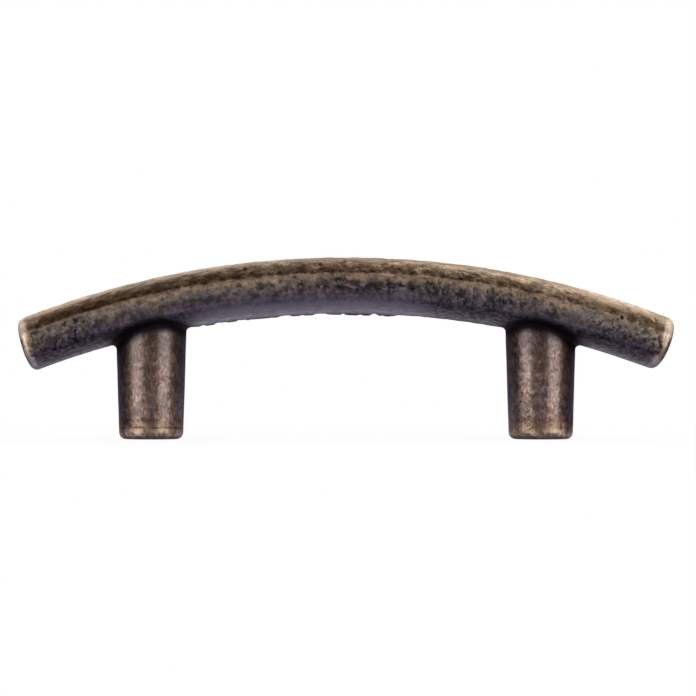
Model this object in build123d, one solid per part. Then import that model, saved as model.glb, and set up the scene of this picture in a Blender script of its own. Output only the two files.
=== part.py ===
"""Arched bar pull for a drawer or a cabinet door: a crowned bar on two round posts, cast in one piece.

The pull stands on its post feet, which is the face that meets the door. The origin is on that face,
midway between the two screw holes, with +X along the bar, +Y across it and +Z away from the door.
Sizes are in millimetres and angles in degrees.
"""

from build123d import *
import os
from math import atan2, hypot, radians, sqrt, tan, degrees

# Fixing
hole_spacing = 76.2
screw_hole_diameter = 3.45
screw_hole_depth = 14.0
drill_point_angle = 118.0
lead_in_depth = 0.4

# Side view
projection = 35.6
bar_length = 128.3
arch_radius = 174.5
belly_arch_radius = 170.0
end_bow_radius = 30.0

# Section of the bar
bar_width = 16.5
bar_thickness = 11.1
crown_rise = 3.3
belly_drop = 3.0
shoulder_radius = 2.0
belly_edge_radius = 2.0

# Posts
post_foot_diameter = 12.5
post_draft = 1.75

# Rounded edges
end_edge_radius = 1.8
foot_edge_radius = 1.8
root_fillet_radius = 0.7

# Places that follow from the sizes above
arch_centre_z = projection - arch_radius
belly_z = projection - bar_thickness
mid_radius = arch_radius - bar_thickness / 2
post_x = hole_spacing / 2
post_top_z = arch_centre_z + sqrt(mid_radius**2 - post_x**2)
crown_axis = Axis((0, 0, arch_centre_z), (0, 1, 0))
belly_axis = Axis((0, 0, belly_z - belly_arch_radius), (0, 1, 0))


def crown_section():
    """Section of the crown blank: crowned top, soft shoulders, and upright sides that run down past the belly."""
    half_width = bar_width / 2
    shoulder_z = projection - crown_rise
    foot_z = belly_z - bar_thickness
    outline = ThreePointArc((-half_width, shoulder_z), (0, projection), (half_width, shoulder_z)) + Polyline(
        (half_width, shoulder_z), (half_width, foot_z), (-half_width, foot_z), (-half_width, shoulder_z)
    )
    section = make_face(outline)
    return Plane.YZ * fillet(section.vertices().sort_by(Axis.Y)[-2:], shoulder_radius)


def belly_section():
    """Section of the belly blank: rounded belly, soft lower edges, and upright sides that run up past the crown."""
    half_width = bar_width / 2
    edge_z = belly_z + belly_drop
    head_z = projection + bar_thickness
    outline = ThreePointArc((-half_width, edge_z), (0, belly_z), (half_width, edge_z)) + Polyline(
        (half_width, edge_z), (half_width, head_z), (-half_width, head_z), (-half_width, edge_z)
    )
    section = make_face(outline)
    return Plane.YZ * fillet(section.vertices().sort_by(Axis.Y)[:2], belly_edge_radius)


def carried_round(section, axis, half_angle):
    """A section turned about an arch's axis, as far to the left of the middle as to the right."""
    return revolve(section.rotate(axis, -half_angle), axis, 2 * half_angle)


def bow_centre():
    """Centre of the arc that bows the right end in the side view, as (x, z).

    The rounded upper corner of the end touches the overall length, which places the centre of its arc. The bow's
    centre is one bow radius back along the bar from the end's middle, so it lies on a circle about the arch's
    centre. It also lies one bow radius, less the corner's own radius, from the corner's centre.
    """
    corner_x = bar_length / 2 - end_edge_radius
    corner_rise = sqrt((arch_radius - end_edge_radius) ** 2 - corner_x**2)
    reach = hypot(corner_x, corner_rise)
    from_arch = hypot(mid_radius, end_bow_radius)
    from_corner = end_bow_radius - end_edge_radius
    along = (reach**2 + from_arch**2 - from_corner**2) / (2 * reach)
    aside = sqrt(from_arch**2 - along**2)
    x = (along * corner_x - aside * corner_rise) / reach
    rise = (along * corner_rise + aside * corner_x) / reach
    return x, arch_centre_z + rise


def arched_bar():
    """What the crown blank and the belly blank share, with both ends cut to a shallow bow and rounded.

    The belly's arch is flatter than one about the crown's centre would be, so the bar thins towards its ends.
    """
    x, z = bow_centre()
    end_angle = degrees(atan2(x, z - arch_centre_z) + atan2(end_bow_radius, mid_radius))
    blank_angle = end_angle + degrees(bar_thickness / mid_radius)
    crown_blank = carried_round(crown_section(), crown_axis, blank_angle)
    belly_blank = carried_round(belly_section(), belly_axis, blank_angle)
    block_size = 4 * end_bow_radius
    beyond = Box(block_size, block_size, block_size, align=(Align.MIN, Align.CENTER, Align.CENTER))
    bow = Rot(90, 0, 0) * Cylinder(end_bow_radius, block_size)
    end_cutter = Pos(x, 0, z) * Rot(0, end_angle, 0) * (beyond - bow)
    bar = (crown_blank & belly_blank) - end_cutter - mirror(end_cutter, about=Plane.YZ)
    end_faces = bar.faces().filter_by(GeomType.CYLINDER)
    return fillet(end_faces.edges(), end_edge_radius)


def post():
    """A round post, drafted to widen from its rounded foot up to the middle of the bar."""
    foot_radius = post_foot_diameter / 2
    top_radius = foot_radius + post_top_z * tan(radians(post_draft))
    body = Cone(foot_radius, top_radius, post_top_z, align=(Align.CENTER, Align.CENTER, Align.MIN))
    return fillet(body.edges().group_by(Axis.Z)[0], foot_edge_radius)


def screw_hole():
    """A blind drilled hole with a cone at its end and a small lead-in at its mouth, as a solid to cut away."""
    radius = screw_hole_diameter / 2
    point_depth = radius / tan(radians(drill_point_angle / 2))
    half_profile = Polyline(
        (0, 0),
        (radius + lead_in_depth, 0),
        (radius, lead_in_depth),
        (radius, screw_hole_depth),
        (0, screw_hole_depth + point_depth),
        close=True,
    )
    return revolve(Plane.XZ * make_face(half_profile), Axis.Z)


def pull_casting():
    """Bar and posts as one casting, with filleted roots and a screw hole up each post."""
    places = [Pos(-post_x, 0, 0), Pos(post_x, 0, 0)]
    casting = arched_bar()
    for place in places:
        casting = casting + place * post()
    post_sides = casting.faces().filter_by(GeomType.CONE)
    curved_edges = post_sides.edges().filter_by(GeomType.LINE, reverse=True)
    root_edges = [edge for edge in curved_edges if edge.center().Z > post_top_z / 2]
    casting = fillet(root_edges, root_fillet_radius)
    for place in places:
        casting = casting - place * screw_hole()
    return casting


os.makedirs("parts", exist_ok=True)
export_step(pull_casting(), "parts/pull_casting.step")
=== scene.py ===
import itertools
from functools import partial

import bmesh
import bpy
import numpy as np
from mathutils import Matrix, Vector


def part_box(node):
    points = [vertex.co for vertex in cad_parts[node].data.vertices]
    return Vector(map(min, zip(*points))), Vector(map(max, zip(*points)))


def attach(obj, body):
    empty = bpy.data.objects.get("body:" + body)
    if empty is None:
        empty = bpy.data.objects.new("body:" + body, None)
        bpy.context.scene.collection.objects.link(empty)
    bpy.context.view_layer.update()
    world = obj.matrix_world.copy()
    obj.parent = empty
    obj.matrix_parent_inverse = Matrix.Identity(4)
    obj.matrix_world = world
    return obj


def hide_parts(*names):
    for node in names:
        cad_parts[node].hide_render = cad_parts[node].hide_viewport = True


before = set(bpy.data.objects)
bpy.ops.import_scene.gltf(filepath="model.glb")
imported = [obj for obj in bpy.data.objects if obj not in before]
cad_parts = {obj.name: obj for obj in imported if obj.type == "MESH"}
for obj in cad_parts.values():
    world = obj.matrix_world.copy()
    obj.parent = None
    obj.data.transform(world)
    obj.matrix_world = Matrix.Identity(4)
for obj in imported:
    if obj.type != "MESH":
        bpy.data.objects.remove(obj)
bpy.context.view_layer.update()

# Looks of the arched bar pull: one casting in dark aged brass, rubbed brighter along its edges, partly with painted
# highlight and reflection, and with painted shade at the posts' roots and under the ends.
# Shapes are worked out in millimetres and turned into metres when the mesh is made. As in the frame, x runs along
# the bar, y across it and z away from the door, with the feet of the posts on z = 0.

millimetre = 0.001

# Sizes of the pull, in millimetres, with its angles in radians
bar_length = 128.3
bar_width = 16.5
bar_thickness = 11.1
projection = 35.6
arch_radius = 174.5
belly_arch_radius = 170.0
crown_rise = 3.3
belly_drop = 3.0
shoulder_radius = 2.0
belly_edge_radius = 2.0
side_lean = 0.045
side_lean_from = 4.2
left_bow_radius = 100.0
right_bow_radius = 30.0
left_end_tilt = np.radians(4.5)
right_end_tilt = 0.0
end_edge_radius = 1.4
post_x = 38.1
post_foot_radius = 6.25
post_slope = np.tan(np.radians(1.75))
foot_edge_radius = 1.3
root_fillet_radius = 0.7
hole_radius = 1.725
thread_radius = 2.083
thread_pitch = 25.4 / 32
hole_depth = 14.0
thread_runout = 1.6
thread_steepness = 1.3
thread_crest = 0.15
lead_in_depth = 0.4
drill_point_half_angle = np.radians(59)

# Fineness of the mesh
cell = 0.315
cells_round_section = 148
cells_across_root = 66
cells_in_middle = 182
cells_to_end = 42
rings_on_end_edge = 8
rings_on_end_face = 18
rings_round_root = 12
rings_on_root_fillet = 5
rings_on_post = 50
rings_near_foot = 16
near_foot_z = 3.4
rings_on_foot_edge = 6
rings_on_foot_face = 4
foot_face_share = 0.86
rings_in_thread = 108
sharp_edge_angle = np.radians(50)

# Rounds of correction, where two sizes depend on each other
rounds_along_bar = 6
rounds_at_end = 3
rounds_at_root = 8

# Section of the bar. Its outline is followed by distance from the middle of the belly, up one side, to the crown.
half_width = bar_width / 2
crown_radius = (half_width**2 + crown_rise**2) / (2 * crown_rise)
belly_radius = (half_width**2 + belly_drop**2) / (2 * belly_drop)
crown_centre_h = bar_thickness - crown_radius
shoulder_y = half_width - shoulder_radius
shoulder_h = crown_centre_h + np.sqrt((crown_radius - shoulder_radius) ** 2 - shoulder_y**2)
belly_edge_y = half_width - belly_edge_radius
belly_edge_h = belly_radius - np.sqrt((belly_radius - belly_edge_radius) ** 2 - belly_edge_y**2)
belly_turn = np.arctan2(belly_edge_y, belly_radius - belly_edge_h)
crown_turn = np.arctan2(shoulder_y, shoulder_h - crown_centre_h)
belly_run = belly_radius * belly_turn
belly_edge_run = belly_run + belly_edge_radius * (np.pi / 2 - belly_turn)
side_run = belly_edge_run + shoulder_h - belly_edge_h
shoulder_run = side_run + shoulder_radius * (np.pi / 2 - crown_turn)
half_outline = shoulder_run + crown_radius * crown_turn

# Arches of the crown and of the belly, and the centre of the round at an end's upper corner
arch_centre_z = projection - arch_radius
inner_radius = arch_radius - bar_thickness
mid_radius = arch_radius - bar_thickness / 2
belly_centre_above = (projection - bar_thickness - belly_arch_radius) - arch_centre_z
corner_x = bar_length / 2 - end_edge_radius
corner_rise = np.sqrt((arch_radius - end_edge_radius) ** 2 - corner_x**2)
corner_reach = np.hypot(corner_x, corner_rise)
corner_turn = np.arctan2(corner_x, corner_rise)


def outline(distance):
    """Section of the bar at signed distances along its outline from the middle of the belly: y, h above the belly,
    and the turn of the outward direction from straight down, from 0 at the belly to half a turn at the crown.
    Arcs and a side follow each other: belly, belly edge, side, shoulder, crown. From a little above the belly edge
    the side leans in, by a square law, so that the shoulder fades into it.
    """
    along = np.abs(distance)
    ends = [0, belly_run, belly_edge_run, side_run, shoulder_run, half_outline]
    turns = [0, belly_turn, np.pi / 2, np.pi / 2, np.pi - crown_turn, np.pi]
    turn = np.interp(along, ends, turns)
    stretch = [
        along < belly_run,
        along < belly_edge_run,
        along < side_run,
        along < shoulder_run,
        along >= shoulder_run,
    ]
    y = np.select(
        stretch,
        [
            belly_radius * np.sin(turn),
            belly_edge_y + belly_edge_radius * np.sin(turn),
            half_width + 0 * turn,
            shoulder_y + shoulder_radius * np.sin(turn),
            crown_radius * np.sin(turn),
        ],
    )
    h = np.select(
        stretch,
        [
            belly_radius * (1 - np.cos(turn)),
            belly_edge_h - belly_edge_radius * np.cos(turn),
            belly_edge_h + along - belly_edge_run,
            shoulder_h - shoulder_radius * np.cos(turn),
            crown_centre_h - crown_radius * np.cos(turn),
        ],
    )
    lean = side_lean * np.clip(h - side_lean_from, 0, shoulder_h - side_lean_from) ** 2
    side = np.where(distance < 0, -1.0, 1.0)
    return side * y * (1 - lean / half_width), h, side * turn


def belly_distance(y):
    """Distance along the outline to a point of the belly or of the belly's edge that is y across from the middle."""
    across = np.abs(y)
    on_belly = belly_radius * np.arcsin(np.minimum(across / belly_radius, 1))
    edge_sine = np.clip((across - belly_edge_y) / belly_edge_radius, 0, 1)
    on_edge = belly_run + belly_edge_radius * (np.arcsin(edge_sine) - belly_turn)
    return np.sign(y) * np.where(on_belly < belly_run, on_belly, on_edge)


def arch_height(angle, h):
    """Distance from the crown's arch centre to a point h above the belly of the bar, at an angle along the arch.
    The crown keeps its own arch. The belly follows a flatter arch about another centre, and the sides blend the two.
    """
    across = belly_centre_above * np.sin(angle)
    belly_arch = belly_centre_above * np.cos(angle) + np.sqrt(belly_arch_radius**2 - across**2)
    share = np.clip((shoulder_h - h) / (shoulder_h - belly_edge_h), 0, 1)
    return inner_radius + h + share * (belly_arch - inner_radius)


def on_arch(angle, y, h):
    """Points of the bar at an angle along the arch, y across and h above the belly."""
    reach = arch_height(angle, h)
    return np.stack(np.broadcast_arrays(reach * np.sin(angle), y, arch_centre_z + reach * np.cos(angle)), axis=-1)


def bar_angle(x, h):
    """Angle along the arch at which a point h above the belly is x along the bar, by repeated correction."""
    angle = np.arcsin(x / mid_radius)
    for _ in range(rounds_along_bar):
        angle = np.arcsin(x / arch_height(angle, h))
    return angle


def end_angle(h, depth, bow_radius, tilt):
    """Angle along the arch at which a point h above the belly lies a depth under the bowed end.
    The bow's centre is one radius back from the end's middle, along the bar or tilted upright from it, and the bow
    touches the round at the upper corner. The law of cosines gives the turns between those points, seen from the
    arch's centre.
    """
    centre_reach = np.sqrt(mid_radius**2 + bow_radius**2 - 2 * mid_radius * bow_radius * np.sin(tilt))
    to_corner = bow_radius - end_edge_radius
    along = (corner_reach**2 + centre_reach**2 - to_corner**2) / (2 * corner_reach)
    centre_turn = corner_turn - np.arccos(along / centre_reach)
    angle = centre_turn + np.arctan2(bow_radius, mid_radius)
    for _ in range(rounds_at_end):
        reach = arch_height(angle, h)
        cosine = (reach**2 + centre_reach**2 - (bow_radius - depth) ** 2) / (2 * reach * centre_reach)
        angle = centre_turn + np.arccos(cosine)
    return angle


def circles(radius, turn, z):
    """Points on circles about the z axis, at turns and heights."""
    return np.stack(np.broadcast_arrays(radius * np.cos(turn), radius * np.sin(turn), z), axis=-1)


def post_wall(turn, z):
    """Points of a post's drafted wall, about the post's own axis: the radius grows with the height."""
    return circles(post_foot_radius + post_slope * z, turn, z)


# Dents on the front of the bar, each as x, z, half width, half height and amount, with raised spots below zero,
# which also get a painted glint
front_marks = {
    "round pit left of the middle": (-8.9, 29.7, 1.00, 0.85, 0.9),
    "bright grain in that pit": (-8.8, 29.55, 0.55, 0.40, -1.3),
    "round pit near the middle": (-4.75, 29.8, 1.10, 0.90, 0.9),
    "bright grain in that other pit": (-4.7, 29.7, 0.50, 0.45, -1.3),
    "crescent nick": (-16.7, 29.3, 0.90, 0.45, 0.9),
    "first blotch under the ridge": (-1.4, 30.8, 0.80, 0.60, 0.85),
    "second blotch under the ridge": (1.9, 30.2, 1.20, 0.60, 0.85),
    "third blotch under the ridge": (5.0, 30.0, 1.00, 0.70, 0.85),
    "fourth blotch under the ridge": (8.9, 29.8, 1.50, 0.60, 0.85),
    "fifth blotch under the ridge": (12.5, 29.5, 1.00, 0.80, 0.85),
    "dark blotch on the right": (22.4, 28.3, 1.20, 1.10, 0.8),
    "long dark nick on the right": (47.4, 25.8, 1.20, 0.40, 0.8),
    "comma pit on the right": (53.6, 23.9, 0.32, 0.48, 1.6),
    "back of the curl": (60.8, 18.3, 0.60, 1.40, 0.85),
    "upper arm of the curl": (59.7, 19.7, 1.10, 0.50, 0.7),
    "lower arm of the curl": (59.8, 16.8, 0.90, 0.50, 0.7),
    "left spot on the crown": (-19.6, 33.2, 0.45, 0.45, 1.2),
    "middle spot on the crown": (-4.9, 34.1, 0.45, 0.45, 1.2),
    "right spot on the crown": (-0.3, 34.8, 0.45, 0.35, 1.2),
}
# Where hands have rubbed more than the edges, over the top and on the front alone, each as x, depth under the crown,
# half length, half depth and amount. On the front, the upper corners of the ends carry painted highlight, and the
# right end and the crown towards the right carry rubbed wear with painted light.
rubbed_tops = {
    "top of the right end": (54.0, 0.3, 14.0, 1.1, 0.98),
    "top of the left end": (-56.0, 0.2, 13.0, 0.8, 0.95),
}
rubbed_patches_and_painted_light = {
    # Rubbed wear with painted light
    "upper half of the right end": (54.0, 2.3, 11.0, 3.4, 0.50),
    "crown towards the right": (36.0, 0.8, 16.0, 1.3, 0.36),
    "shoulder left of the middle": (-24.0, 3.9, 8.0, 1.2, 0.30),
    # Painted highlights
    "upper corner of the left end": (-61.5, 1.3, 2.6, 2.6, 0.75),
    "upper corner of the right end": (61.8, 1.6, 2.6, 2.6, 0.75),
    "speckled face of the left end": (-52.0, 5.4, 7.0, 2.4, 0.30),
}

# Rubbed edges: the ridge where the side turns into the shoulder, the rims of the ends, and the feet. Towards their
# top corner and bottom the rims are brighter as painted highlight and painted reflection, and the feet as painted
# reflection of the floor.
ridge_up_shoulder = 0.15
ridge_raggedness = 0.45
ridge_width_above = 0.7
ridge_width_below = 1.2
ridge_narrowing = 0.35
ridge_wear_amount = 0.70
ridge_wear_mottle = 0.14
rounded_ridge_width = 1.6
rounded_ridge_depth = 0.28
left_rim_width = 0.9
right_rim_width = 1.4
rim_raggedness = 0.5
rim_wear_amount = 0.84
rim_wear_above = 0.36
rim_wear_below = 0.19
end_face_wear_amount = 0.4
foot_wall_wear = 0.75
foot_wall_wear_low = 0.12
foot_edge_wear = 0.98
thread_wear = 0.4
grain_wear = 0.6

# Corner at a post's root: the reach of its painted shade on the bar and on the post, a fainter painted shadow of the
# bar further down the post, and how much of the post's finish the corner has
crease_on_bar = 2.2
crease_on_post = 1.9
faint_crease_on_post = 9.0
faint_crease_amount = 0.5
root_post_share = 0.6

# Cast skin in layers of unevenness, each as size, height and seed
skin_layers = {
    "broad hollows": (9.0, 0.025, 11),
    "dimples": (2.6, 0.020, 12),
    "grain": (1.0, 0.012, 13),
}
crown_layers = {
    "dimples of the crown": (1.8, 0.05, 23),
    "grain of the crown": (0.9, 0.045, 24),
}
dent_layers = {
    "dents": (1.05, 0.8, 18),
    "small dents": (0.65, 1.0, 19),
}
notch_layers = {
    "notches in the mould line": (1.4, 1.0, 48),
    "small notches in the mould line": (0.6, 0.5, 17),
}
ragged_layers = {"raggedness of rubbed edges": (1.7, 1.0, 21)}
gap_layers = {"gaps in the ring near the foot": (1.2, 1.0, 22)}

# Amount of skin, sizes of its dents and lines, the places of the scratch and the stains, and how much darker the left
# front of the right post is
cubes_each_way = 32
least_bar_skin = 0.9
post_skin = 0.6
foot_skin = 0.5
dent_band_under_shoulder = 0.9
dent_band_width = 1.5
dent_depth = 0.09
mould_line_width = 0.42
mould_line_height = 0.26
mould_line_height_right = 0.16
mould_line_dirt_width = 0.6
ring_line_z = 2.25
ring_line_width = 0.15
ring_line_depth = 0.025
relief_unit = 0.1
skin_allowance = 0.07
scratch_x = 15.4
stain_above_belly = 5.2
stain_width = 1.1
right_post_darkening = 0.42


def unevenness(points, size, seed):
    """Smooth random field: seeded values from -1 to 1 on the corners of cubes of that size, eased across each cube.
    The values repeat after a number of cubes each way.
    """
    table = np.random.default_rng(seed).uniform(-1, 1, (cubes_each_way,) * 3)
    place = points / size
    corner = np.floor(place).astype(int)
    part = place - corner
    part = part * part * (3 - 2 * part)
    field = np.zeros(len(points))
    for step in itertools.product((0, 1), repeat=3):
        index = (corner + np.array(step)) % cubes_each_way
        weight = np.prod(np.where(step, part, 1 - part), axis=1)
        field += weight * table[index[:, 0], index[:, 1], index[:, 2]]
    return field


def ease(low, high, value):
    """Smooth step from 0 at low to 1 at high."""
    part = np.clip((value - low) / (high - low), 0, 1)
    return part * part * (3 - 2 * part)


def bell(value, width):
    """Bell curve: 1 at a value of 0, falling off on both sides by the square of the value over the width."""
    return np.exp(-((value / width) ** 2))


def spot(across, up, half_wide, half_tall):
    """Oval spot with a flat middle: 1 inside, falling off by the fourth power of the distance over its half sizes."""
    reach = (across / half_wide) ** 2 + (up / half_tall) ** 2
    return np.exp(-(reach**2))


def layered(points, layers):
    """Sum of layers of unevenness, each with its own size, height and seed."""
    return sum(height * unevenness(points, size, seed) for size, height, seed in layers.values())


class Casting:
    """Rings of points that are joined into one closed mesh, and the traits of the points, from 0 to about 1.
    Wear is how much hands have rubbed them, with painted highlight and painted reflection on the rims of the ends and
    on the feet, skin how rough the cast surface is, root shade how close they sit to the corner at a post's root,
    which the finish darkens as painted shade, and post whether a post has them. On the bar, band is the dented strip
    under the shoulder, face the upright side, and ridge the turn from the side into the shoulder.
    """

    names = ("wear", "skin", "crease", "post", "band", "face", "ridge")

    def __init__(self):
        self.points = []
        self.traits = {name: [] for name in self.names}
        self.faces = []
        self.count = 0

    def add_points(self, points, traits):
        """Numbers a block of points."""
        first = self.count
        flat = points.reshape(-1, 3)
        self.points.append(flat)
        for name in self.names:
            value = np.broadcast_to(traits.get(name, 0.0), points.shape[:-1])
            self.traits[name].append(value.reshape(-1))
        self.count += len(flat)
        return first

    def add_rings(self, rings, left_out=None, **traits):
        """Quads between closed rings of points, apart from the cells that are left out."""
        rows, columns = rings.shape[:2]
        first = self.add_points(rings, traits)
        row = np.arange(rows - 1)[:, None] * columns
        column = np.arange(columns)[None, :]
        beside = (column + 1) % columns
        quads = np.stack([row + column, row + beside, row + columns + beside, row + columns + column], axis=-1)
        chosen = quads.reshape(-1, 4) if left_out is None else quads[~left_out]
        self.faces.append(first + chosen)

    def add_halving(self, fine, coarse, **traits):
        """Triangles between a ring and one with half as many points."""
        count = len(coarse)
        outer = self.add_points(fine, traits) + 2 * np.arange(count)
        inner = self.add_points(coarse, traits) + np.arange(count)
        middle = outer + 1
        following = np.roll(outer, -1)
        inner_following = np.roll(inner, -1)
        self.faces.append(np.stack([outer, middle, inner], axis=-1))
        self.faces.append(np.stack([middle, inner_following, inner], axis=-1))
        self.faces.append(np.stack([middle, following, inner_following], axis=-1))

    def add_pole(self, ring, tip, **traits):
        """Triangles from a ring to the point that closes it."""
        edge = self.add_points(ring, traits) + np.arange(len(ring))
        top = self.add_points(tip, traits) + 0 * edge
        self.faces.append(np.stack([edge, np.roll(edge, -1), top], axis=-1))

    def mesh(self, name):
        """One mesh with the shared edges welded and all faces outwards, and the traits of its points."""
        points = np.concatenate(self.points)
        used = np.unique(np.concatenate([np.ravel(block) for block in self.faces]))
        _, first, shared = np.unique(np.round(points[used], 4), axis=0, return_index=True, return_inverse=True)
        chosen = used[first]
        number = np.zeros(len(points), dtype=int)
        number[used] = shared.reshape(-1)
        made = bpy.data.meshes.new(name)
        faces = [face for block in self.faces for face in number[block].tolist()]
        made.from_pydata(points[chosen].tolist(), [], faces)
        shell = bmesh.new()
        shell.from_mesh(made)
        bmesh.ops.recalc_face_normals(shell, faces=shell.faces)
        shell.to_mesh(made)
        shell.free()
        return made, {trait: np.concatenate(values)[chosen] for trait, values in self.traits.items()}


casting = Casting()

# Bar: the section carried along the arch, ring by ring, with an opening left round the root of each post
distance = 2 * half_outline * np.arange(cells_round_section) / cells_round_section
distance = np.where(distance > half_outline, distance - 2 * half_outline, distance)
section_y, section_h, section_turn = outline(distance)
post_angle = bar_angle(post_x, 0.0)
root_reach = cells_across_root / 2 * cell / mid_radius
left_edge = -end_angle(section_h, end_edge_radius, left_bow_radius, left_end_tilt)
right_edge = end_angle(section_h, end_edge_radius, right_bow_radius, right_end_tilt)
roots = [-post_angle - root_reach, -post_angle + root_reach, post_angle - root_reach, post_angle + root_reach]
stations = [left_edge, *roots, right_edge]
counts = [cells_to_end, cells_across_root, cells_in_middle, cells_across_root, cells_to_end]
stretches = [
    start + (stop - start) * np.arange(count)[:, None] / count
    for start, stop, count in zip(stations, stations[1:], counts)
]
full_rows = [np.broadcast_to(rows, (len(rows), cells_round_section)) for rows in stretches]
bar_angles = np.concatenate([*full_rows, right_edge[None]])
bar_points = on_arch(bar_angles, section_y, section_h)

# Traits of the bar, from the distance along the section, the height above the belly and the distance from the ends
bar_x = bar_points[..., 0]
ragged_edge = layered(bar_points.reshape(-1, 3), ragged_layers).reshape(bar_angles.shape)
ridge_distance = (1 - ridge_up_shoulder) * side_run + ridge_up_shoulder * shoulder_run
off_ridge = np.abs(distance) - ridge_distance + ridge_raggedness * ragged_edge
width_below = ridge_width_below - ridge_narrowing * ease(-5, -25, bar_x)
ridge_width = np.where(off_ridge < 0, width_below, ridge_width_above)
along_ridge = ease(52, 42, bar_x) * (0.7 + 0.3 * ease(-52, -40, bar_x))
ridge_wear = (ridge_wear_amount + ridge_wear_mottle * ragged_edge) * along_ridge * bell(off_ridge, ridge_width)
# Rims of the ends: rubbed, and brighter towards the top corner and the bottom as painted highlight and painted
# reflection
rim_wear = rim_wear_amount + rim_wear_above * ease(4, 9.5, section_h) + rim_wear_below * ease(7, 2, section_h)
from_end = np.minimum(bar_angles - left_edge, right_edge - bar_angles) * mid_radius
rim_width = np.where(bar_x < 0, left_rim_width, right_rim_width)
rim_depth = np.maximum(from_end + rim_raggedness * ragged_edge * ease(0, 1, from_end), 0)
bar_traits = {
    "wear": np.maximum(ridge_wear, rim_wear * bell(rim_depth, rim_width)),
    "skin": 1.0,
    "band": bell(np.abs(distance) - side_run + dent_band_under_shoulder, dent_band_width),
    "face": ease(1.2, 2.4, section_h) * ease(8.0, 6.8, section_h),
    "ridge": bell(np.abs(distance) - (side_run + shoulder_run) / 2, rounded_ridge_width),
}

half_root = cells_across_root // 2
first_rows = [cells_to_end, cells_to_end + cells_across_root + cells_in_middle]
left_out = np.zeros((len(bar_points) - 1, cells_round_section), dtype=bool)
for first_row in first_rows:
    left_out[first_row : first_row + cells_across_root, :half_root] = True
    left_out[first_row : first_row + cells_across_root, -half_root:] = True
casting.add_rings(bar_points, left_out, **bar_traits)


def end_rings(bow_radius, tilt):
    """Rings of an end, laid out for the right one: the section is drawn in round a quarter circle at the edge, and
    then shrunk on to its middle. Each ring keeps its depth under the bow of the end, so the edge is a true round and
    the face a true bow.
    """
    sweep = np.linspace(0, np.pi / 2, rings_on_end_edge + 1)[:, None]
    inset = end_edge_radius * (1 - np.cos(sweep))
    depth = end_edge_radius * (1 - np.sin(sweep))
    y = section_y - inset * np.sin(section_turn)
    h = section_h + inset * np.cos(section_turn)
    share = 1 - np.arange(1, rings_on_end_face)[:, None] / rings_on_end_face
    middle_h = bar_thickness / 2
    y = np.concatenate([y, share * y[-1]])
    h = np.concatenate([h, middle_h + share * (h[-1] - middle_h)])
    depth = np.concatenate([depth, 0 * share])
    edge_wear = 1 - (1 - end_face_wear_amount) * ease(0.9, 1.5, sweep)
    face_wear = end_face_wear_amount * ease(0.7, 1.0, share)
    wear = np.concatenate([edge_wear, face_wear]) * rim_wear
    points = on_arch(end_angle(h, depth, bow_radius, tilt), y, h)
    tip = on_arch(end_angle(middle_h, 0.0, bow_radius, tilt), 0.0, middle_h)
    return points, wear, tip[None]


for side, bow_radius, tilt in ((-1, left_bow_radius, left_end_tilt), (1, right_bow_radius, right_end_tilt)):
    end_points, end_wear, end_tip = end_rings(bow_radius, tilt)
    flip = np.array([side, 1, 1])
    casting.add_rings(end_points * flip, wear=end_wear, skin=1.0)
    casting.add_pole(end_points[-1] * flip, end_tip * flip, skin=1.0)


def root_corner(turn, axis_x):
    """Where a post's wall would meet the bar sharply, for turns about the post's axis, and the bar's outward
    direction there. Height and radius depend on each other, so they are corrected in turn.
    """
    z = projection - bar_thickness + 0 * turn
    for _ in range(rounds_at_root):
        wall = post_wall(turn, z)
        along = belly_distance(wall[:, 1])
        _, h, lean = outline(along)
        angle = bar_angle(axis_x + wall[:, 0], h)
        z = on_arch(angle, wall[:, 1], h)[:, 2]
    corner = post_wall(turn, z) + np.array([axis_x, 0, 0])
    down = np.cos(lean)
    outward = np.stack([-down * np.sin(angle), np.sin(lean), -down * np.cos(angle)], axis=-1)
    return corner, outward


def thread_rings(turn):
    """Rings of the threaded hole: the drilled wall, cut outwards by a triangle wave that climbs one pitch a turn."""
    depth = np.linspace(lead_in_depth, hole_depth, rings_in_thread)[:, None]
    climb = (depth / thread_pitch - turn / (2 * np.pi)) % 1
    cut = np.clip(thread_steepness * (1 - np.abs(2 * climb - 1)) - thread_crest, 0, 1)
    runout = ease(hole_depth, hole_depth - thread_runout, depth)
    radius = hole_radius + (thread_radius - hole_radius) * cut * runout
    return circles(radius, turn, depth)


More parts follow.
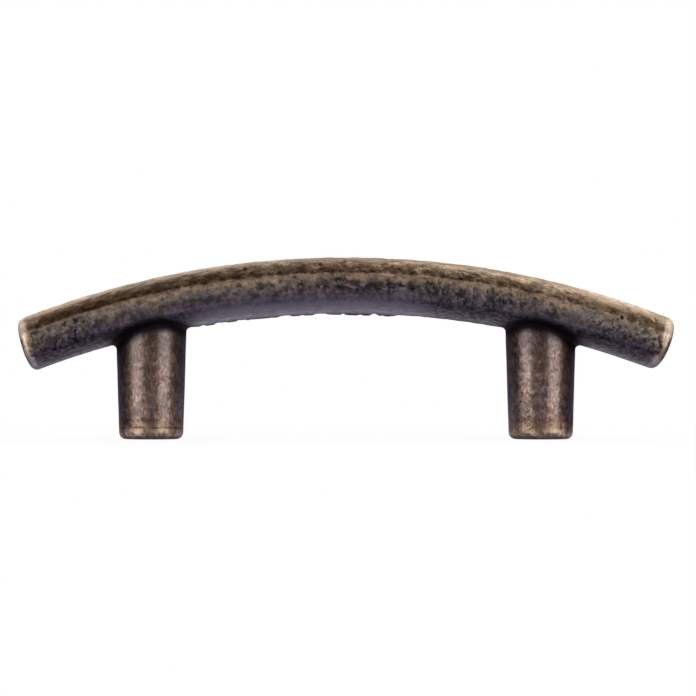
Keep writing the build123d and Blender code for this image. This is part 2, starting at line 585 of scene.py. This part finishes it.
def add_post(axis_x, first_row):
    """A post, from the opening in the bar down to its foot and up its screw hole: a skirt of rings from the square
    opening to the round root, a round in the corner, the drafted wall, the rounded foot, the thread and the drill
    point. Along the skirt, places on the section and on the arch pass evenly from the opening to the root.
    """
    place = np.array([axis_x, 0, 0])
    count = 4 * cells_across_root
    turn = 2 * np.pi * np.arange(count) / count

    # Edge of the opening in the bar, followed round from its right side as the turns are
    rows = np.arange(cells_across_root)
    ones = np.ones(cells_across_root, dtype=int)
    loop_row = np.concatenate([cells_across_root * ones, cells_across_root - rows, 0 * ones, rows])
    loop_column = np.concatenate([rows, cells_across_root * ones, cells_across_root - rows, 0 * ones])
    loop_row = np.roll(loop_row, -half_root)
    loop_column = np.roll(loop_column, -half_root) - half_root
    opening_angle = bar_angles[first_row + loop_row, loop_column]
    opening_distance = distance[loop_column]

    # Where the round in the corner touches the bar
    corner, bar_outward = root_corner(turn, axis_x)
    radial = np.stack([np.cos(turn), np.sin(turn), 0 * turn], axis=-1)
    bend = np.arccos(np.sum(bar_outward * radial, axis=1))
    reach = (root_fillet_radius * np.tan(bend / 2))[:, None]
    away = radial - np.sum(radial * bar_outward, axis=1)[:, None] * bar_outward
    away = away / np.linalg.norm(away, axis=1)[:, None]
    touch = corner + reach * away
    touch_distance = belly_distance(touch[:, 1])
    touch_angle = bar_angle(touch[:, 0], outline(touch_distance)[1])

    # Skirt from the opening to the round
    share = np.linspace(0, 1, rings_round_root + 1)[:, None]
    skirt_distance = (1 - share) * opening_distance + share * touch_distance
    skirt_angle = (1 - share) * opening_angle + share * touch_angle
    skirt_y, skirt_h, _ = outline(skirt_distance)
    skirt = on_arch(skirt_angle, skirt_y, skirt_h)
    from_root = np.linalg.norm(skirt - skirt[-1], axis=-1)
    # Painted shade on the bar round the root
    casting.add_rings(skirt, skin=1.0, crease=bell(from_root, crease_on_bar))

    # Round in the corner: an arc, drawn as a weighted curve from the bar past the corner to the wall
    wall_top_z = corner[:, 2] - reach[:, 0]
    upper = skirt[-1]
    lower = post_wall(turn, wall_top_z) + place
    weight = np.cos(bend / 2)[:, None]
    fillet = []
    for part in np.linspace(0, 1, rings_on_root_fillet + 1):
        bulge = 2 * weight * part * (1 - part)
        total = (1 - part) ** 2 + bulge + part**2
        fillet.append(((1 - part) ** 2 * upper + bulge * corner + part**2 * lower) / total)
    casting.add_rings(np.array(fillet), skin=post_skin, crease=1.0, post=root_post_share)

    # Wall, with half as many points round it, in finer rings near the foot
    half_turn = turn[::2]
    slant = np.arctan(post_slope)
    foot_centre = post_foot_radius + foot_edge_radius * (post_slope - 1 / np.cos(slant))
    wall_foot_z = foot_edge_radius * (1 - np.sin(slant))
    step = np.linspace(0, 1, rings_on_post + 1)[:, None]
    upper_z = (1 - step) * wall_top_z[::2] + step * near_foot_z
    step = np.linspace(0, 1, rings_near_foot + 1)[1:, None]
    lower_z = (1 - step) * near_foot_z + step * wall_foot_z + 0 * half_turn
    wall_z = np.concatenate([upper_z, lower_z])
    wall = post_wall(half_turn, wall_z) + place
    from_root = wall_top_z[::2] - wall_z
    # Painted shade below the root, with a fainter painted shadow of the bar further down the post
    faint_crease = faint_crease_amount * bell(from_root, faint_crease_on_post)
    wall_crease = np.maximum(bell(from_root, crease_on_post), faint_crease)
    # Lower wall of the post: rubbed, and brighter towards the foot as painted reflection of the floor
    wall_wear = foot_wall_wear * ease(5.5, 2.6, wall_z) + foot_wall_wear_low * ease(2.6, 1.4, wall_z)
    casting.add_halving(fillet[-1], wall[1], skin=post_skin, crease=1.0, post=1.0)
    casting.add_rings(wall[1:], skin=post_skin, crease=wall_crease[1:], post=1.0, wear=wall_wear[1:])

    # Rounded foot, its face, the threaded hole and the drill point
    droop = np.linspace(slant, np.pi / 2, rings_on_foot_edge + 1)[:, None]
    edge_radius = foot_centre + foot_edge_radius * np.cos(droop)
    edge = circles(edge_radius, half_turn, foot_edge_radius * (1 - np.sin(droop))) + place
    # Rounded foot: brighter as rubbed metal and painted reflection of the floor
    edge_wear = foot_edge_wear * np.sqrt(np.cos(droop))
    casting.add_rings(edge, wear=edge_wear, skin=foot_skin * np.cos(droop), post=1.0)
    mouth_radius = hole_radius + lead_in_depth
    quarter_turn = turn[::4]
    face_radius = np.linspace(foot_centre * foot_face_share, mouth_radius, rings_on_foot_face)[:, None]
    face = circles(face_radius, quarter_turn, 0.0) + place
    casting.add_halving(edge[-1], face[0], post=1.0)
    casting.add_rings(face, post=1.0)
    hole_turn = turn[::8]
    thread = thread_rings(hole_turn) + place
    casting.add_halving(face[-1], thread[0], wear=thread_wear)
    casting.add_rings(thread, wear=thread_wear)
    point_depth = hole_depth + hole_radius / np.tan(drill_point_half_angle)
    casting.add_pole(thread[-1], place[None] + np.array([[0, 0, point_depth]]), wear=thread_wear)


for side, first_row in zip((-1, 1), first_rows):
    add_post(side * post_x, first_row)


def relief(points, outward, traits):
    """Height of the cast skin over the plain shape: broad hollows, dimples and grain, dents in the rough band under
    the shoulder and on the faces of the bar near its ends, the marks of the front, the ragged mould line along the
    belly and the fine ring near the left foot. Also gives where these two lines and the marks are.
    """
    x, y, z = points.T
    skin = traits["skin"]
    on_crown = ease(0.25, 0.70, outward[:, 2]) * skin
    height = skin * layered(points, skin_layers) + on_crown * layered(points, crown_layers)

    # Dents, where the field, the marks and the roughness add up
    in_middle = 0.55 + 0.45 * ease(-27, -19, x) * ease(46, 38, x) - 0.2 * ease(42, 50, x)
    at_ends = 0.88 * ease(-44, -49, x) + 0.7 * ease(48, 53, x) * ease(25, 21, z)
    rough = np.maximum(traits["band"] * in_middle, traits["face"] * at_ends)
    on_front = ease(0.1, -0.2, outward[:, 1])
    marks = 0 * x
    for mark_x, mark_z, half_wide, half_tall, amount in front_marks.values():
        marks += amount * on_front * spot(x - mark_x, z - mark_z, half_wide, half_tall)
    field = layered(points, dent_layers)
    dents = ease(0.0, 0.45, 0.6 * field + 1.1 * marks + 0.8 * (rough - 1) + 0.05)
    height -= dent_depth * dents

    # Mould line, broken up along the bar alone
    along_line = np.stack([x, 0 * x, 0 * x], axis=-1)
    ragged = ease(-0.80, 0.40, layered(along_line, notch_layers))
    rib = ease(-0.8, -0.95, outward[:, 2]) * (skin > least_bar_skin) * ease(30.2, 29.6, np.abs(x))
    rib = rib * (0.15 + 0.85 * ease(-30, -28, x) * ease(11, 8, x))
    rib_height = mould_line_height + mould_line_height_right * ease(-4, 2, x)
    height += rib_height * ragged * rib * bell(y, mould_line_width)
    line = rib * (0.6 + 0.4 * ragged) * bell(y, mould_line_dirt_width)

    # Ring near the left foot
    on_left_post = (np.hypot(x + post_x, y) < 8) & (z < 4)
    ring_line = on_left_post * bell(z - ring_line_z, ring_line_width)
    ring_line = ring_line * (0.5 + 0.5 * ease(-0.6, 0.4, layered(points, gap_layers)))
    height -= ring_line_depth * ring_line
    return height, np.maximum(line, ring_line), np.clip(marks, 0, 2)


def rubbed_and_painted_light(points, outward, wear):
    """Wear of the edges, with the patches that hands have rubbed over the top and on the front, some of which are
    painted highlight and painted light, and a painted glint on the raised grains in the pits.
    """
    x, _, z = points.T
    depth = arch_radius - np.hypot(x, z - arch_centre_z)
    on_front = ease(0.1, -0.3, outward[:, 1])
    for patches, shown in ((rubbed_tops, 1.0), (rubbed_patches_and_painted_light, on_front)):
        for patch_x, patch_depth, half_long, half_deep, amount in patches.values():
            patch = spot(x - patch_x, depth - patch_depth, half_long, half_deep)
            wear = np.maximum(wear, amount * shown * patch)
    # Painted glint on the raised grains in the pits, as bare metal
    for grain_x, grain_z, half_wide, half_tall, amount in front_marks.values():
        grain = spot(x - grain_x, z - grain_z, half_wide, half_tall)
        wear = np.maximum(wear, -grain_wear * amount * on_front * grain)
    return wear


def pull_object():
    """The finished casting: the plain shape with its cast skin, and what the finish needs to know as attributes."""
    mesh, traits = casting.mesh("bar_pull_casting")
    count = len(mesh.vertices)
    points = np.empty(count * 3)
    mesh.vertices.foreach_get("co", points)
    points = points.reshape(-1, 3)
    outward = np.empty(count * 3)
    mesh.vertex_normals.foreach_get("vector", outward)
    outward = outward.reshape(-1, 3)
    height, mould_line, marks = relief(points, outward, traits)
    x, _, z = points.T
    rubbed_away = rounded_ridge_depth * traits["ridge"] * ease(40, 52, x)
    allowance = skin_allowance * (traits["skin"] > least_bar_skin)
    carved = points + outward * (height - rubbed_away - allowance)[:, None]
    lowest, highest = (np.array(corner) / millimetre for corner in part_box("pull_casting"))
    carved = np.clip(carved, lowest, highest)
    mesh.vertices.foreach_set("co", (carved * millimetre).reshape(-1))

    # Where the finish changes, by height above the belly, place along the bar and the way the surface faces
    above_belly = np.hypot(x, z - arch_centre_z) - inner_radius
    on_front = ease(-0.1, -0.5, outward[:, 1])
    off_posts = 1 - traits["post"]
    middle = ease(-32, -26, x) * ease(20, 10, x)
    blotchy = 0.35 + 0.55 * ease(44, 50, np.abs(x))
    on_sides = ease(0.45, 0.1, outward[:, 2]) * ease(-0.95, -0.7, outward[:, 2])
    stain_along = (0.55 + 0.45 * ease(-16, 0, x)) * ease(48, 40, x)
    stained_band = on_front * stain_along * bell(above_belly - stain_above_belly, stain_width)
    # The left front of the right post is made darker, which dims its highlight there
    right_post_left_darkening = on_front * traits["post"] * (x > 0) * ease(-0.05, -0.30, outward[:, 0])
    layers = {
        # Wear, with the painted highlights of the rims and corners and the painted glints of the pits
        "wear": rubbed_and_painted_light(points, outward, traits["wear"]),
        "relief": height / relief_unit,
        # Painted shade round the posts' roots
        "crease": traits["crease"],
        "mould_line": mould_line,
        "marks": marks,
        "upward": outward[:, 2],
        "post": traits["post"],
        "low": ease(4.4, 0.6, above_belly) * off_posts,
        "rise": ease(2.5, 7.5, above_belly),
        "stain_and_post_darkening": np.maximum(stained_band, right_post_darkening * right_post_left_darkening),
        "scratched": ease(0.1, -0.2, outward[:, 1]) * ease(3.0, 6.0, above_belly),
        "streaks": on_front * traits["face"] * ease(10, 17, x) * ease(40, 33, x),
        "blotches": blotchy * on_sides * off_posts,
        "tarnish": ease(-15, -50, x),
        # Painted shade on the downward-facing surfaces towards the ends, away from rubbed places
        "underside_shade": (1 - middle) * ease(-0.2, -0.6, outward[:, 2]) * off_posts * (1 - traits["wear"]),
    }
    for name, values in layers.items():
        layer = mesh.attributes.new(name, "FLOAT", "POINT")
        layer.data.foreach_set("value", values.astype(np.float32))
    mesh.update()
    mesh.shade_smooth()
    mesh.set_sharp_from_angle(angle=sharp_edge_angle)
    piece = bpy.data.objects.new("bar_pull_casting", mesh)
    bpy.context.scene.collection.objects.link(piece)
    return piece


pull = pull_object()


def add_node(tree, kind, inputs=None, **settings):
    """A node with its settings, its inputs set to values or joined to other nodes' sockets."""
    node = tree.nodes.new(kind)
    for name, value in settings.items():
        setattr(node, name, value)
    for name, value in (inputs or {}).items():
        if isinstance(value, bpy.types.NodeSocket):
            tree.links.new(value, node.inputs[name])
        else:
            node.inputs[name].default_value = value
    return node


def new_material(name):
    """An empty node material and its tree."""
    material = bpy.data.materials.new(name)
    material.use_nodes = True
    material.node_tree.nodes.clear()
    return material, material.node_tree


def arithmetic(tree, operation, first, second=0.0):
    """One step of arithmetic on two values."""
    return add_node(tree, "ShaderNodeMath", {0: first, 1: second}, operation=operation).outputs[0]


def largest(tree, first, *others):
    """The largest of several values."""
    for other in others:
        first = arithmetic(tree, "MAXIMUM", first, other)
    return first


def eased(tree, value, low, high, to_low=0.0, to_high=1.0):
    """A value between low and high, carried smoothly to another range."""
    settings = {"Value": value, "From Min": low, "From Max": high, "To Min": to_low, "To Max": to_high}
    return add_node(tree, "ShaderNodeMapRange", settings, interpolation_type="SMOOTHSTEP").outputs[0]


def blend(tree, share, first, second):
    """A colour that passes from the first to the second as the share grows."""
    return add_node(tree, "ShaderNodeMix", {0: share, 6: first, 7: second}, data_type="RGBA").outputs[2]


# Colours of the finish
face_slate = (0.053, 0.037, 0.042, 1)
face_brown = (0.062, 0.043, 0.030, 1)
belly_slate = (0.064, 0.050, 0.056, 1)
crown_brown = (0.062, 0.031, 0.016, 1)
crown_brass = (0.205, 0.138, 0.084, 1)
crown_tarnish = (0.058, 0.023, 0.006, 1)
post_brown = (0.066, 0.033, 0.015, 1)
post_brass = (0.142, 0.088, 0.057, 1)
thin_brass = (0.180, 0.120, 0.072, 1)
# Greyer thinly worn metal low on the bar, as painted reflection of the floor
thin_belly_metal_painted_reflection = (0.150, 0.122, 0.112, 1)
bare_brass = (0.585, 0.460, 0.345, 1)
# Greyer bare metal low on the bar, as painted reflection of the floor
bare_belly_metal_painted_reflection = (0.530, 0.470, 0.440, 1)
dirt_and_shade_black = (0.003, 0.0025, 0.004, 1)
glancing_tint = (0.90, 0.80, 0.68, 1)

# Lacquer, bump and the half widths of the scratch, where it ends and where it is whole, in metres
lacquer_roughness = 0.20
lacquer_index = 1.5
bump_strength = 0.6
bump_depth = 0.00008
scratch_edge = 0.00022
scratch_core = 0.00006


def aged_brass():
    """Dark aged brass in layers: brown and slate patina in patches, speckle, bare rubbed metal on the edges, dirt in
    pits, and painted shade in the corners at the posts' roots and under the ends. Roughness and bump follow the same
    fields.
    """
    material, tree = new_material("aged_brass_finish")
    place = add_node(tree, "ShaderNodeTexCoord").outputs["Object"]
    times = partial(arithmetic, tree, "MULTIPLY")
    plus = partial(arithmetic, tree, "ADD")
    minus = partial(arithmetic, tree, "SUBTRACT")
    most = partial(largest, tree)
    spread = partial(eased, tree)
    mix = partial(blend, tree)

    def noise(scale, detail, rough, offset=(0, 0, 0), stretch=(1, 1, 1)):
        """Cloudy pattern with about so many clouds to the metre, moved by an offset and scaled along each axis."""
        moved = add_node(tree, "ShaderNodeMapping", {"Vector": place, "Location": offset, "Scale": stretch})
        settings = {"Vector": moved.outputs[0], "Scale": scale, "Detail": detail, "Roughness": rough}
        return add_node(tree, "ShaderNodeTexNoise", settings).outputs["Fac"]

    def attribute(name):
        """What the mesh knows of each place, by name."""
        return add_node(tree, "ShaderNodeAttribute", attribute_name=name).outputs["Fac"]

    wear = attribute("wear")
    height = attribute("relief")
    upward = attribute("upward")
    post = attribute("post")
    # Painted shade in the corners at the posts' roots, with the dirt of the mould line and of the ring near the foot
    root_shade_and_line_dirt = most(attribute("crease"), attribute("mould_line"))

    # Patterns of different fineness
    patches = noise(260, 4, 0.6)
    mottle = noise(760, 4, 0.62, (0.3, 0.1, 0.2))
    brushed = noise(560, 5, 0.68, (0.6, 0.3, 0.1), (0.8, 1, 1))
    tinge = noise(420, 3, 0.6, (0.9, 0.4, 0.7))
    flecks = noise(1250, 3, 0.6, (0.2, 0.8, 0.5))
    speckle = noise(2400, 3, 0.65, (0.1, 0.5, 0.3))
    grain = noise(2000, 4, 0.65, (0.4, 0.6, 0.9), (1, 1, 0.5))
    streak = noise(1200, 5, 0.70, (0.7, 0.2, 0.4), (1, 1, 0.16))

    # Patina: slate and brown on the sides, brown and brass on the crown and the posts
    crown = times(spread(upward, 0.15, 0.65), minus(1.0, post))
    under = attribute("low")
    browner = spread(plus(times(attribute("rise"), 0.5), tinge), 0.50, 1.00)
    on_face = mix(browner, face_slate, face_brown)
    on_top = mix(spread(brushed, 0.40, 0.60), crown_brown, crown_brass)
    tarnished = times(attribute("tarnish"), spread(flecks, 0.40, 0.60, 0.60, 1.0))
    on_top = mix(tarnished, on_top, crown_tarnish)
    patina = mix(under, on_face, belly_slate)
    patina = mix(crown, patina, on_top)
    on_post = mix(spread(grain, 0.36, 0.64), post_brown, post_brass)
    patina = mix(post, patina, on_post)

    # Lighter and darker places of the patina, with the streaks, blotches and stains that dull it, painted shade under
    # the ends, and a darker left front on the right post
    shade = times(spread(mottle, 0.32, 0.68, 0.55, 1.45), spread(patches, 0.35, 0.65, 0.75, 1.25))
    shade = times(shade, spread(speckle, 0.32, 0.68, 0.75, 1.25))
    calm = spread(most(under, times(post, 0.5)), 0.0, 1.0, 1.0, 0.65)
    shade = plus(times(minus(shade, 1.0), calm), 1.0)
    crown_flecks = spread(flecks, 0.38, 0.50, 0.65, 1.0)
    shade = times(shade, plus(times(minus(crown_flecks, 1.0), crown), 1.0))
    streaked = times(spread(streak, 0.42, 0.62), spread(mottle, 0.72, 0.46))
    streaked = times(attribute("streaks"), streaked)
    blotched = times(attribute("blotches"), spread(flecks, 0.54, 0.40))
    # Painted shade under the ends, which also takes off the lacquer
    shaded_underside = times(attribute("underside_shade"), spread(flecks, 0.40, 0.60, 1.0, 0.45))
    stained_and_darkened = times(attribute("stain_and_post_darkening"), spread(mottle, 0.60, 0.40, 0.35, 0.95))
    dulled_and_shaded = most(streaked, blotched, shaded_underside, stained_and_darkened)
    shade = times(shade, minus(1.0, times(dulled_and_shaded, 0.7)))
    patina = add_node(tree, "ShaderNodeVectorMath", {0: patina, 1: shade}, operation="MULTIPLY").outputs[0]

    # Metal that is worn thin or bare, first where the wear and the unevenness add up. Through the wear, the same
    # lighter metal makes the painted highlights on the rims and upper corners, the painted glints in the pits and the
    # painted reflection on the feet. Low on the bar it is greyer, as painted reflection of the floor.
    off_post = minus(1.0, post)
    finest = plus(times(speckle, off_post), times(grain, post))
    uneven = plus(times(mottle, 0.5), times(finest, 0.25))
    uneven = plus(uneven, times(height, 0.2))
    uneven = plus(uneven, times(minus(streak, 0.5), 0.3))
    rubbed_and_lit_field = plus(times(wear, 0.60), uneven)
    worn_thin = mix(under, thin_brass, thin_belly_metal_painted_reflection)
    bare = mix(under, bare_brass, bare_belly_metal_painted_reflection)
    colour = mix(spread(rubbed_and_lit_field, 0.55, 0.95), patina, worn_thin)
    colour = mix(spread(rubbed_and_lit_field, 0.85, 1.15), colour, bare)
    along_bar = add_node(tree, "ShaderNodeSeparateXYZ", {0: place}).outputs["X"]
    from_scratch = arithmetic(tree, "ABSOLUTE", minus(along_bar, scratch_x * millimetre))
    scratch = times(spread(from_scratch, scratch_edge, scratch_core, 0.0, 0.6), attribute("scratched"))
    colour = mix(times(scratch, spread(speckle, 0.40, 0.55)), colour, thin_brass)

    # Dirt in pits and lines, and painted shade in the corners at the posts' roots
    dirt_and_shade = most(times(streaked, 0.85), root_shade_and_line_dirt)
    marked = times(attribute("marks"), spread(flecks, 0.38, 0.58, 1.0, 0.6))
    dented = times(spread(height, -0.25, -1.1, 0.0, 0.85), spread(flecks, 0.40, 0.60, 1.0, 0.3))
    dirt_and_shade = most(dented, marked, dirt_and_shade)
    colour = mix(spread(dirt_and_shade, 0.0, 1.0, 0.0, 0.97), colour, dirt_and_shade_black)

    # Roughness, and lacquer where nothing has dulled or rubbed it
    roughness = spread(mottle, 0.30, 0.70, 0.37, 0.46)
    roughness = minus(roughness, times(post, 0.13))
    roughness = plus(roughness, times(dirt_and_shade, 0.25))
    roughness = plus(roughness, spread(rubbed_and_lit_field, 0.80, 1.10, 0.0, 0.13))
    roughness = plus(roughness, spread(wear, 0.60, 1.20, 0.0, 0.10))
    worn_belly = times(under, spread(mottle, 0.40, 0.62, 0.0, 0.5))
    worn_edge = spread(wear, 0.15, 0.55, 0.0, 0.85)
    unlacquered = most(times(dulled_and_shaded, 0.95), dirt_and_shade, worn_belly, times(crown, 0.97), worn_edge)
    lacquer = minus(1.0, unlacquered)

    # Fine bumps, with a grain of their own on the posts
    fine = plus(times(speckle, 0.5), times(mottle, 0.9))
    fine = plus(fine, times(flecks, 0.6))
    fine = minus(fine, times(streaked, 0.4))
    fine_on_post = plus(times(mottle, 0.5), times(grain, 0.6))
    fine = plus(times(fine, off_post), times(fine_on_post, post))
    fine = times(fine, spread(crown, 0.0, 1.0, 1.0, 2.0))
    settings = {"Strength": bump_strength, "Distance": bump_depth, "Height": fine}
    bumpy = add_node(tree, "ShaderNodeBump", settings).outputs[0]
    settings = {
        "Base Color": colour,
        "Metallic": 1.0,
        "Roughness": roughness,
        "Normal": bumpy,
        "Specular Tint": glancing_tint,
        "Coat Weight": lacquer,
        "Coat Roughness": lacquer_roughness,
        "Coat IOR": lacquer_index,
        "Coat Normal": bumpy,
    }
    surface = add_node(tree, "ShaderNodeBsdfPrincipled", settings)
    add_node(tree, "ShaderNodeOutputMaterial", {"Surface": surface.outputs[0]})
    return material


pull.data.materials.append(aged_brass())
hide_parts("pull_casting")
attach(pull, "root")


# Studio: a pale floor in a white surround, soft boxes on all sides, and a long lens. Its sizes are in metres.
floor_size = 0.60
floor_gap = 0.00004
clear_of_pull = 0.09
white_from = 0.24
least_white = 0.88
open_under_foot = 0.0049
camera_distance = 0.80
sensor_width = 36.0
picture_width = 0.1362
picture_centre = Vector((0.0004, 0.0, 0.0178))

# Tones of the studio
white = (1, 1, 1, 1)
even_grey = (0.5, 0.5, 0.5, 1)
box_tone = (0.95, 1.00, 1.14)
floor_for_camera = (0.90, 0.88, 0.85, 1)
near_floor_in_metal = (0.70, 0.67, 0.84, 1)
far_floor_in_metal = (0.10, 0.10, 0.17, 1)

# How far out the floor that the metal sees starts to dim and is dim, by axis and way
dim_floor = {
    ("X", 1): (0.045, 0.085),
    ("X", -1): (0.045, 0.085),
    ("Y", 1): (0.03, 0.09),
    ("Y", -1): (0.09, 0.16),
}

# Soft boxes, each as azimuth, elevation, distance, width, height and brightness
soft_boxes = {
    "left_soft_box": (-49, 7, 0.6, 0.40, 0.28, 8.6),
    "right_soft_box": (46, 7, 0.6, 0.40, 0.28, 8.6),
    "key_soft_box": (0, 35, 1.1, 1.4, 0.60, 0.8),
    "top_right_soft_box": (117, 66, 1.0, 0.50, 0.30, 0.6),
    "back_right_soft_box": (152, 44, 1.0, 0.70, 0.40, 4.0),
    "back_left_soft_box": (-155, 30, 1.0, 0.70, 0.25, 3.7),
}

# What the metal sees of the surround in front and behind, by the sine of the height above the horizon, and how far
# to each side of the middle the two blend
front_tones = {
    0.00: (0.43, 0.40, 0.37, 1),
    0.17: (0.40, 0.38, 0.36, 1),
    0.38: (1.10, 1.10, 1.10, 1),
    0.60: (1.05, 1.05, 1.05, 1),
    0.93: (0.26, 0.26, 0.26, 1),
}
back_tones = {
    0.00: (0.08, 0.09, 0.16, 1),
    0.17: (0.20, 0.21, 0.25, 1),
    0.34: (1.00, 1.00, 1.00, 1),
    0.66: (0.90, 0.90, 0.90, 1),
    0.88: (0.26, 0.26, 0.26, 1),
}
front_to_back = 0.25


def mixed_surface(tree, share, first, second):
    """A surface that passes from the first to the second as the share grows."""
    return add_node(tree, "ShaderNodeMixShader", {0: share, 1: first, 2: second}).outputs[0]


def studio_world():
    """White for the camera and through glass. Metal sees it as a bright band all round, under a dim ceiling.
    As light on matt things it is an even grey.
    """
    world = bpy.data.worlds.new("studio_surround")
    world.use_nodes = True
    tree = world.node_tree
    tree.nodes.clear()
    path = add_node(tree, "ShaderNodeLightPath").outputs
    towards = add_node(tree, "ShaderNodeTexCoord").outputs["Generated"]
    parts = add_node(tree, "ShaderNodeSeparateXYZ", {0: towards}).outputs

    def tones(steps_by_rise):
        """Colours by the height that a ray points to."""
        ramp = add_node(tree, "ShaderNodeValToRGB", {0: parts["Z"]})
        steps = ramp.color_ramp.elements
        while len(steps) < len(steps_by_rise):
            steps.new(0.5)
        for step, (position, tone) in zip(steps, steps_by_rise.items()):
            step.position = position
            step.color = tone
        return ramp.outputs[0]

    behind = eased(tree, parts["Y"], -front_to_back, front_to_back)
    surround = blend(tree, behind, tones(front_tones), tones(back_tones))
    glossy = blend(tree, path["Is Glossy Ray"], even_grey, surround)
    direct = largest(tree, path["Is Camera Ray"], path["Is Transmission Ray"])
    shown = blend(tree, direct, glossy, white)
    light = add_node(tree, "ShaderNodeBackground", {"Color": shown, "Strength": 1.0})
    add_node(tree, "ShaderNodeOutputWorld", {"Surface": light.outputs[0]})
    bpy.context.scene.world = world


def floor_material():
    """Pale matt floor that keeps the shadow near the pull, and runs out to the white of the surround.
    Metal sees its far part dim, the camera sees through it from beneath, and it is open under the feet of the posts.
    """
    material, tree = new_material("pale_floor")
    path = add_node(tree, "ShaderNodeLightPath").outputs
    place = add_node(tree, "ShaderNodeTexCoord").outputs["Object"]
    reach = add_node(tree, "ShaderNodeVectorMath", {0: place}, operation="LENGTH").outputs["Value"]
    away = eased(tree, reach, clear_of_pull, white_from, least_white)
    direct = largest(tree, path["Is Camera Ray"], path["Is Transmission Ray"])
    parts = add_node(tree, "ShaderNodeSeparateXYZ", {0: place}).outputs
    dimmed = [
        eased(tree, parts[axis], way * dim_from, way * dim_to)
        for (axis, way), (dim_from, dim_to) in dim_floor.items()
    ]
    far = largest(tree, *dimmed)
    seen_in_metal = blend(tree, far, near_floor_in_metal, far_floor_in_metal)
    tone = blend(tree, path["Is Camera Ray"], seen_in_metal, floor_for_camera)
    matt = add_node(tree, "ShaderNodeBsdfDiffuse", {"Color": tone}).outputs[0]
    glow = add_node(tree, "ShaderNodeEmission", {"Color": white, "Strength": 1.0}).outputs[0]
    pale = mixed_surface(tree, arithmetic(tree, "MULTIPLY", away, direct), matt, glow)

    turned_away = add_node(tree, "ShaderNodeNewGeometry").outputs["Backfacing"]
    beneath = arithmetic(tree, "MULTIPLY", turned_away, path["Is Camera Ray"])
    from_middle = arithmetic(tree, "ABSOLUTE", parts["X"])
    side_by_side = add_node(tree, "ShaderNodeCombineXYZ", {"X": from_middle, "Y": parts["Y"]}).outputs[0]
    foot = (post_x * millimetre, 0, 0)
    between = add_node(tree, "ShaderNodeVectorMath", {0: side_by_side, 1: foot}, operation="DISTANCE")
    below_foot = arithmetic(tree, "LESS_THAN", between.outputs["Value"], open_under_foot)
    clear = add_node(tree, "ShaderNodeBsdfTransparent").outputs[0]
    surface = mixed_surface(tree, largest(tree, beneath, below_foot), pale, clear)
    add_node(tree, "ShaderNodeOutputMaterial", {"Surface": surface})
    return material


def studio_floor():
    """A flat sheet at the feet of the pull."""
    half = floor_size / 2
    corners = [(x, y, -floor_gap) for x, y in ((-half, -half), (half, -half), (half, half), (-half, half))]
    mesh = bpy.data.meshes.new("studio_floor")
    mesh.from_pydata(corners, [], [(0, 1, 2, 3)])
    mesh.materials.append(floor_material())
    floor = bpy.data.objects.new("studio_floor", mesh)
    bpy.context.scene.collection.objects.link(floor)


def soft_box(name, azimuth, elevation, away, width, height, brightness):
    """A rectangular lamp that faces the pull. Azimuth 0 is the camera's side, 90 the right and 180 the back.
    A lamp's power is its brightness times its area times pi.
    """
    lamp = bpy.data.lights.new(name, "AREA")
    lamp.shape = "RECTANGLE"
    lamp.color = box_tone
    lamp.size = width
    lamp.size_y = height
    lamp.energy = brightness * width * height * np.pi
    box = bpy.data.objects.new(name, lamp)
    turn, lift = np.radians(azimuth), np.radians(elevation)
    towards = Vector((np.sin(turn) * np.cos(lift), -np.cos(turn) * np.cos(lift), np.sin(lift)))
    box.location = picture_centre + away * towards
    box.rotation_euler = towards.to_track_quat("Z", "Y").to_euler()
    box.visible_camera = False
    bpy.context.scene.collection.objects.link(box)


def long_lens():
    """A camera level with the middle of the pull, far enough back to see it almost square on."""
    lens = bpy.data.cameras.new("long_lens")
    lens.sensor_width = sensor_width
    lens.lens = sensor_width * camera_distance / picture_width
    camera = bpy.data.objects.new("long_lens", lens)
    camera.location = picture_centre - Vector((0, camera_distance, 0))
    camera.rotation_euler = (np.pi / 2, 0, 0)
    bpy.context.scene.collection.objects.link(camera)
    bpy.context.scene.camera = camera


studio_world()
studio_floor()
for name, setting in soft_boxes.items():
    soft_box(name, *setting)
long_lens()
bpy.context.scene.view_settings.view_transform = "Standard"
